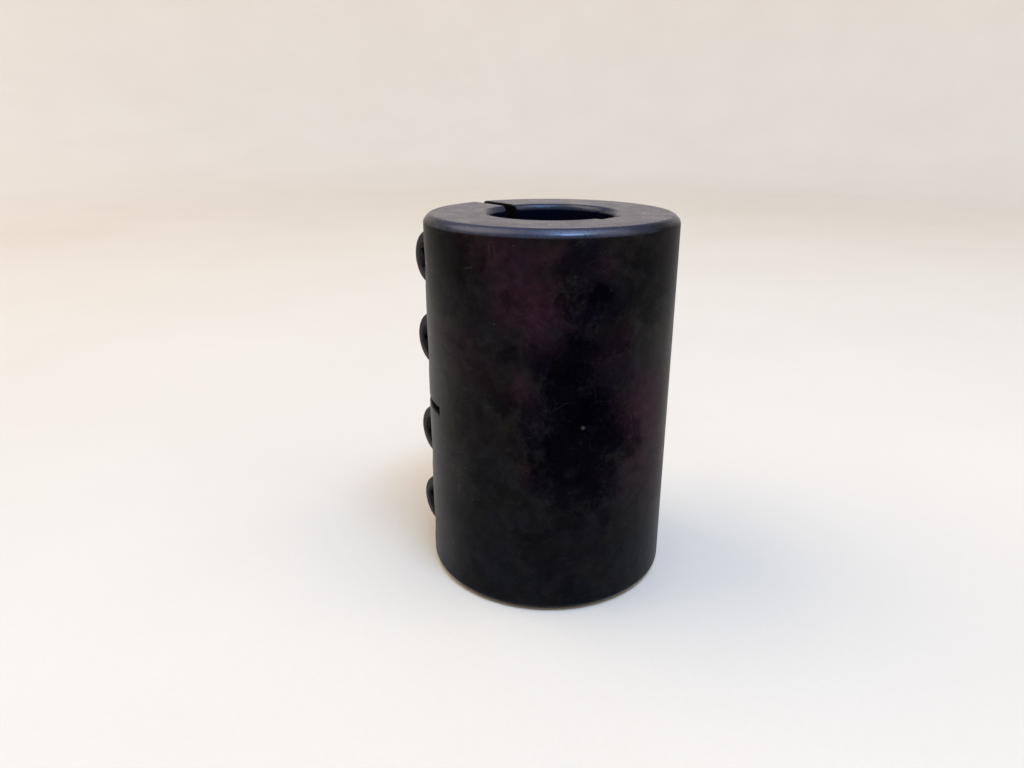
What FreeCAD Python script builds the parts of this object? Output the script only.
import FreeCAD, Part
import math
import os
import Sketcher
from FreeCAD import Placement, Rotation, Vector

# Rigid sleeve coupling, one-piece clamp type, for two 25.4 mm (1 in) keyed shafts.
#
# Frame: origin on the bore axis at mid-length, where the two shaft ends meet. +Z runs along the
# bore. The slit opens toward +Y. The keyway faces -Y, turned a little toward +X. The clamp screws
# cross the slit along X with their heads toward -X. Millimetres throughout.

doc = FreeCAD.newDocument("sleeve_coupling")

# ---------------------------------------------------------------- driving dimensions

# alias, value, what it is
TABLE = [
    ("sleeve_length", 76.2, "overall length, 3 in"),
    ("sleeve_radius", 25.4, "outside radius, 2 in diameter"),
    ("bore_radius", 12.7, "bore radius, 1 in shaft"),
    ("rim_chamfer", 1.2, "chamfer on the two outside rims"),
    ("bore_chamfer", 0.8, "chamfer on the two bore mouths"),
    ("rim_round", 1.5, "rounding where the rim chamfers meet the side and the end faces"),
    ("mouth_round", 0.9, "rounding where the mouth chamfers meet the bore and the end faces"),
    ("edge_break", 0.2, "deburred edges of the slit, cross slot, keyway and screw holes"),
    ("slit_width", 2.8, "sawn slit that lets the bore close"),
    ("cross_width", 1.6, "sawn slot across the slit at mid-length"),
    ("cross_floor", 4.5, "distance of the cross slot's floor from the bore axis"),
    ("key_width", 6.35, "keyway width, 1/4 in"),
    ("key_depth", 1.8, "keyway depth beyond the bore wall, on the centre line"),
    ("key_turn", 9.5, "keyway's turn about the bore axis from opposite the slit, degrees"),
    ("screw_offset", 17.8, "screw axis to bore axis"),
    ("screw_inner", 10.7, "inner screw pair, height from mid-length"),
    ("screw_outer", 28.3, "outer screw pair, height from mid-length"),
    ("seat_distance", 9.75, "screw seat to the middle of the slit"),
    ("seat_radius", 6.5, "counterbore radius for the screw head"),
    ("clearance_radius", 4.25, "plain hole on the head side"),
    ("tapped_radius", 4.03, "hole on the thread side, at the thread's major diameter"),
    ("thread_radius", 3.97, "5/16 in screw, major radius"),
    ("thread_length", 25.4, "screw length under the head, 1 in"),
    ("tip_chamfer", 0.75, "chamfer on the screw's point"),
    ("head_radius", 5.95, "screw head radius"),
    ("head_height", 7.94, "screw head height"),
    ("head_chamfer", 0.75, "chamfer on the top edge of the head"),
    ("under_chamfer", 0.3, "edge break under the head"),
    ("socket_flats", 6.35, "hexagon socket across flats, 1/4 in"),
    ("socket_depth", 3.85, "hexagon socket depth"),
    ("socket_mouth", 3.85, "radius and cone depth of the countersink at the socket's mouth"),
    ("socket_drill", 2.9, "radius of the drill point under the socket"),
    ("socket_point", 1.6, "depth of that drill point"),
    ("reach", 60.0, "half size of a cut that has to pass right through"),
]
value = {alias: size for alias, size, note in TABLE}

dims = doc.addObject("Spreadsheet::Sheet", "Dims")
for row, (alias, size, note) in enumerate(TABLE, start=1):
    dims.set("A%d" % row, alias)
    dims.set("B%d" % row, "%g" % size)
    dims.setAlias("B%d" % row, alias)
    dims.set("C%d" % row, note)
doc.recompute()

# Places used by several outlines, as expressions in the sheet's aliases
TOP = "sleeve_length/2"
BOTTOM = "-sleeve_length/2"
INSIDE_BORE = "bore_radius/2"
BEYOND_SLEEVE = "sleeve_radius*1.2"

# Margins for picking edges, and for the checks
SMALL = 0.01          # positions closer than this count as equal
SLIT_MARGIN = 0.05    # slack on the slit wall's position
SEAT_MARGIN = 0.1     # slack on the counterbore radius
SHARP_ANGLE = 50      # least angle between face normals at a sharp edge, degrees
CHAMFER_ZONE = 1.5    # size of the zone searched around an end chamfer, in chamfer sizes
LEAST_CUT = 0.5       # least volume a cut has to remove, mm3
MOST_OVERLAP = 0.01   # largest volume two pieces may share, mm3

# ---------------------------------------------------------------- expressions


def words_of(expression):
    """The aliases, numbers and operators of an expression, in order."""
    for mark in "+-*/":
        expression = expression.replace(mark, " %s " % mark)
    return expression.split()


def number(expression):
    """The plain value of an expression of sums, products and quotients, without brackets."""
    total = 0.0
    for term in expression.replace("-", "+-").split("+"):
        if not term:
            continue
        product = -1.0 if term.startswith("-") else 1.0
        divide = False
        for word in words_of(term.lstrip("-")):
            if word in "*/":
                divide = word == "/"
                continue
            factor = value[word] if word in value else float(word)
            product = product / factor if divide else product * factor
        total += product
    return total


def bound(expression):
    """The same expression with every alias pointing at the sheet."""
    return "".join("Dims." + word if word in value else word for word in words_of(expression))


# ---------------------------------------------------------------- sketches


def new_sketch(body, name, role, offset=None):
    """A sketch on one of the body's origin planes, or at an offset along its normal."""
    plane = next(item for item in body.Origin.OriginFeatures if item.Role == role)
    sketch = body.newObject("Sketcher::SketchObject", name)
    sketch.AttachmentSupport = (plane, "")
    sketch.MapMode = "FlatFace"
    if offset is not None:
        sketch.AttachmentOffset = Placement(Vector(0, 0, number(offset)), Rotation())
        sketch.setExpression("AttachmentOffset.Base.z", bound(offset))
    return sketch


def pin_point(sketch, geo, pos, x, y):
    """Hold one point of the sketch at x, y, each given as an expression."""
    for kind, axis, expression in (("DistanceX", -2, x), ("DistanceY", -1, y)):
        amount = number(expression)
        if abs(amount) < 1e-9:
            sketch.addConstraint(Sketcher.Constraint("PointOnObject", geo, pos, axis))
            continue
        # A negative distance is held as a positive one measured back to the origin.
        if amount > 0:
            ends = (-1, 1, geo, pos)
            formula = bound(expression)
        else:
            ends = (geo, pos, -1, 1)
            formula = "-(" + bound(expression) + ")"
        index = sketch.addConstraint(Sketcher.Constraint(kind, *ends, abs(amount)))
        sketch.setExpression("Constraints[%d]" % index, formula)


def add_loop(sketch, points):
    """A closed loop of lines through the points."""
    for k, start in enumerate(points):
        sketch.addGeometry(Part.LineSegment(start, points[(k + 1) % len(points)]), False)


def outline(sketch, points):
    """A closed outline through the points, every corner held by the sheet."""
    count = len(points)
    add_loop(sketch, [Vector(number(x), number(y), 0) for x, y in points])
    for k in range(count):
        sketch.addConstraint(Sketcher.Constraint("Coincident", k, 2, (k + 1) % count, 1))
    for k, (x, y) in enumerate(points):
        pin_point(sketch, k, 1, x, y)


def rectangle(sketch, left, right, low, high):
    outline(sketch, [(left, low), (right, low), (right, high), (left, high)])


def circles(sketch, centres, radius):
    """Equal circles, their centres and radius held by the sheet."""
    for x, y in centres:
        circle = Part.Circle(Vector(number(x), number(y), 0), Vector(0, 0, 1), number(radius))
        geo = sketch.addGeometry(circle, False)
        pin_point(sketch, geo, 3, x, y)
        index = sketch.addConstraint(Sketcher.Constraint("Radius", geo, number(radius)))
        sketch.setExpression("Constraints[%d]" % index, bound(radius))


def hexagon(sketch):
    """The socket's regular hexagon, with one corner on the sketch's +X axis."""
    corner = value["socket_flats"] / math.sqrt(3)
    angles = [k * math.pi / 3 for k in range(6)]
    add_loop(sketch, [Vector(corner * math.cos(a), corner * math.sin(a), 0) for a in angles])
    guide = sketch.addGeometry(Part.Circle(Vector(0, 0, 0), Vector(0, 0, 1), corner), True)
    sketch.addConstraint(Sketcher.Constraint("Coincident", guide, 3, -1, 1))
    for k in range(6):
        sketch.addConstraint(Sketcher.Constraint("Coincident", k, 2, (k + 1) % 6, 1))
        sketch.addConstraint(Sketcher.Constraint("PointOnObject", k, 1, guide))
    for k in range(5):
        sketch.addConstraint(Sketcher.Constraint("Equal", k, k + 1))
    sketch.addConstraint(Sketcher.Constraint("PointOnObject", 0, 1, -1))
    across = sketch.addConstraint(Sketcher.Constraint("Diameter", guide, 2 * corner))
    sketch.setExpression("Constraints[%d]" % across, "Dims.socket_flats * 2 / sqrt(3)")


# ---------------------------------------------------------------- features


def recompute_cut(body, name, before):
    """Recompute, and stop if the cut removed nothing: one that misses the solid is silent."""
    doc.recompute()
    after = body.Shape.Volume
    if not after < before - LEAST_CUT:
        raise RuntimeError("%s removed nothing (%.2f -> %.2f mm3)" % (name, before, after))


def spin(body, kind, name, points):
    """A turned feature: an outline on the XZ plane, spun about Z."""
    sketch = new_sketch(body, name + "_profile", "XZ_Plane")
    outline(sketch, points)
    feature = body.newObject(kind, name)
    feature.Profile = sketch
    feature.ReferenceAxis = (sketch, ["V_Axis"])
    feature.Angle = 360.0
    sketch.Visibility = False


def turned(body, name, points):
    spin(body, "PartDesign::Revolution", name, points)
    doc.recompute()


def groove(body, name, points):
    before = body.Shape.Volume
    spin(body, "PartDesign::Groove", name, points)
    recompute_cut(body, name, before)


def pocket(body, name, sketch, length, both_ways=False, forward=False):
    """Cut against the sketch's normal, along it (forward), or half the length each way."""
    before = body.Shape.Volume
    feature = body.newObject("PartDesign::Pocket", name)
    feature.Profile = sketch
    feature.Type = "Length"
    feature.SideType = "Symmetric" if both_ways else "One side"
    feature.Reversed = forward
    feature.Length = number(length)
    feature.setExpression("Length", bound(length))
    sketch.Visibility = False
    recompute_cut(body, name, before)


def dress(body, kind, name, edges, alias):
    """A fillet or chamfer on the named edges of the body's last feature."""
    before = body.Shape.Volume
    base = body.Tip
    feature = body.newObject(kind, name)
    feature.Base = (base, edges)
    size_property = "Radius" if kind.endswith("Fillet") else "Size"
    setattr(feature, size_property, number(alias))
    feature.setExpression(size_property, bound(alias))
    base.Visibility = False
    recompute_cut(body, name, before)


# ---------------------------------------------------------------- edge selection


def edges_that(shape, test):
    """Names of the edges for which test(edge, middle point) holds."""
    names = []
    for k, edge in enumerate(shape.Edges, start=1):
        if edge.Degenerated:
            continue
        if test(edge, edge.valueAt((edge.FirstParameter + edge.LastParameter) / 2)):
            names.append("Edge%d" % k)
    return names


def corner_angle(shape, edge, middle):
    """Angle in degrees between the normals of the two faces that meet in the edge."""
    faces = shape.ancestorsOfType(edge, Part.Face)
    if len(faces) != 2:
        return 0.0
    normals = [face.normalAt(*face.Surface.parameter(middle)) for face in faces]
    return math.degrees(normals[0].getAngle(normals[1]))


def sharp_edges(shape):
    """The sleeve's sharp edges, less inside corners, screw seats and hole edges in the slit."""
    slit_wall = value["slit_width"] / 2 + SLIT_MARGIN
    seat_plane = -value["seat_distance"]
    key_floor = value["bore_radius"] + value["key_depth"]
    key_angle = math.radians(value["key_turn"])

    def reachable(edge, middle):
        if corner_angle(shape, edge, middle) < SHARP_ANGLE:
            return False
        kind = edge.Curve.TypeId
        if kind == "Part::GeomCircle" and edge.Curve.Radius < value["seat_radius"] + SEAT_MARGIN:
            # round edges of the screw holes, in the slit wall and on the seats
            if abs(middle.x) < slit_wall or abs(middle.x - seat_plane) < SMALL:
                return False
        if kind == "Part::GeomLine":
            along = edge.tangentAt(edge.FirstParameter)
            toward_key = middle.x * math.sin(key_angle) - middle.y * math.cos(key_angle)
            # the keyway's two floor corners
            if abs(along.z) > 0.9 and abs(toward_key - key_floor) < SMALL:
                return False
            # the cross slot's floor corners
            if abs(along.x) > 0.9 and abs(middle.y - value["cross_floor"]) < SMALL:
                return False
        return True

    return edges_that(shape, reachable)


def end_circles(shape, chamfer, smallest, largest):
    """Circles about the bore axis near either end, with radii between the two given."""
    zone_start = value["sleeve_length"] / 2 - CHAMFER_ZONE * chamfer

    def at_end(edge, middle):
        if edge.Curve.TypeId != "Part::GeomCircle" or abs(edge.Curve.Axis.z) < 0.999:
            return False
        return abs(middle.z) > zone_start and smallest < edge.Curve.Radius < largest

    return edges_that(shape, at_end)


# ---------------------------------------------------------------- sleeve


def cut_saw_slots(body):
    """Keyway, slit and cross slot."""
    keyway = new_sketch(body, "keyway_outline", "XY_Plane")
    turn = Rotation(Vector(0, 0, 1), value["key_turn"])
    keyway.AttachmentOffset = Placement(Vector(0, 0, 0), turn)
    keyway.setExpression("AttachmentOffset.Rotation.Angle", "Dims.key_turn * 1 deg")
    rectangle(
        keyway, "-key_width/2", "key_width/2", "-bore_radius-key_depth", "-" + INSIDE_BORE
    )
    pocket(body, "keyway", keyway, "2*reach", both_ways=True)

    # full length, from the bore out to the surface
    slit = new_sketch(body, "slit_outline", "XY_Plane")
    rectangle(slit, "-slit_width/2", "slit_width/2", INSIDE_BORE, BEYOND_SLEEVE)
    pocket(body, "slit", slit, "2*reach", both_ways=True)

    # sawn in from the slit side at mid-length, so that each end clamps on its own
    cross = new_sketch(body, "cross_outline", "YZ_Plane")
    rectangle(cross, "cross_floor", BEYOND_SLEEVE, "-cross_width/2", "cross_width/2")
    pocket(body, "cross_slot", cross, "2*reach", both_ways=True)


def cut_screw_holes(body):
    """Counterbores and plain holes on the head side, tapped holes on the other side."""
    heights = ["screw_outer", "screw_inner", "-screw_inner", "-screw_outer"]
    centres = [("screw_offset", height) for height in heights]
    # sketch name, plane offset, radius, pocket name, toward +X
    for sketch_name, offset, radius, name, forward in [
        ("seat_circles", "-seat_distance", "seat_radius", "counterbores", False),
        ("clearance_circles", None, "clearance_radius", "clearance_holes", False),
        ("tapped_circles", None, "tapped_radius", "tapped_holes", True),
    ]:
        sketch = new_sketch(body, sketch_name, "YZ_Plane", offset)
        circles(sketch, centres, radius)
        pocket(body, name, sketch, "reach", forward=forward)


def soften_edges(body):
    """Deburr the reachable sharp edges, then round both corners of each end chamfer."""
    dress(body, "PartDesign::Chamfer", "edge_breaks", sharp_edges(body.Shape), "edge_break")

    radius, chamfer = value["sleeve_radius"], value["rim_chamfer"]
    smallest = radius - CHAMFER_ZONE * chamfer
    rims = end_circles(body.Shape, chamfer, smallest, radius + SMALL)
    dress(body, "PartDesign::Fillet", "rim_rounds", rims, "rim_round")

    radius, chamfer = value["bore_radius"], value["bore_chamfer"]
    largest = radius + CHAMFER_ZONE * chamfer
    mouths = end_circles(body.Shape, chamfer, radius - SMALL, largest)
    dress(body, "PartDesign::Fillet", "mouth_rounds", mouths, "mouth_round")


def make_sleeve():
    body = doc.addObject("PartDesign::Body", "sleeve")
    body.Label = "sleeve"
    turned(body, "turned_ring", [
        ("bore_radius+bore_chamfer", BOTTOM),
        ("sleeve_radius-rim_chamfer", BOTTOM),
        ("sleeve_radius", BOTTOM + "+rim_chamfer"),
        ("sleeve_radius", TOP + "-rim_chamfer"),
        ("sleeve_radius-rim_chamfer", TOP),
        ("bore_radius+bore_chamfer", TOP),
        ("bore_radius", TOP + "-bore_chamfer"),
        ("bore_radius", BOTTOM + "+bore_chamfer"),
    ])
    cut_saw_slots(body)
    cut_screw_holes(body)
    soften_edges(body)
    return body


# ---------------------------------------------------------------- clamp screws


def make_screw(label, height, turn):
    """Socket head cap screw, drawn with its head up from the seat plane, then laid along X."""
    body = doc.addObject("PartDesign::Body", label)
    body.Label = label
    turned(body, label + "_blank", [
        ("0", "-thread_length"),
        ("thread_radius-tip_chamfer", "-thread_length"),
        ("thread_radius", "-thread_length+tip_chamfer"),
        ("thread_radius", "0"),
        ("head_radius-under_chamfer", "0"),
        ("head_radius", "under_chamfer"),
        ("head_radius", "head_height-head_chamfer"),
        ("head_radius-head_chamfer", "head_height"),
        ("0", "head_height"),
    ])

    socket = new_sketch(body, label + "_hexagon", "XY_Plane", "head_height")
    hexagon(socket)
    pocket(body, label + "_socket", socket, "socket_depth")

    # countersink at the socket's mouth
    groove(body, label + "_mouth", [
        ("0", "head_height-socket_mouth"),
        ("socket_mouth", "head_height"),
        ("0", "head_height"),
    ])
    # drill point under the socket
    groove(body, label + "_point", [
        ("0", "head_height-socket_depth-socket_point"),
        ("socket_drill", "head_height-socket_depth"),
        ("0", "head_height-socket_depth"),
    ])

    place = {"x": "-seat_distance", "y": "screw_offset", "z": height}
    body.Placement = Placement(
        Vector(*[number(expression) for expression in place.values()]),
        Rotation(Vector(0, 1, 0), -90) * Rotation(Vector(0, 0, 1), turn),
    )
    for axis, expression in place.items():
        body.setExpression("Placement.Base." + axis, bound(expression))
    return body


# label, height from mid-length, turn about the screw's own axis in degrees
SCREWS = [
    ("clamp_screw_top_outer", "screw_outer", 8),
    ("clamp_screw_top_inner", "screw_inner", 33),
    ("clamp_screw_bottom_inner", "-screw_inner", 51),
    ("clamp_screw_bottom_outer", "-screw_outer", 19),
]

bodies = [make_sleeve()] + [make_screw(*screw) for screw in SCREWS]

# ---------------------------------------------------------------- checks and export

doc.recompute()
for item in doc.Objects:
    if "Invalid" in item.State or "Error" in item.State:
        raise RuntimeError("%s is in state %s" % (item.Name, item.State))

for body in bodies:
    shape = body.Shape
    if shape.isNull() or not shape.isValid() or len(shape.Solids) != 1:
        raise RuntimeError("%s has no single valid solid" % body.Label)

for k, one in enumerate(bodies):
    for other in bodies[k + 1:]:
        shared = one.Shape.common(other.Shape).Volume
        if shared > MOST_OVERLAP:
            raise RuntimeError(
                "%s and %s overlap by %.3f mm3" % (one.Label, other.Label, shared)
            )

os.makedirs("parts", exist_ok=True)
for body in bodies:
    body.Shape.exportStep(os.path.join("parts", body.Label + ".step"))
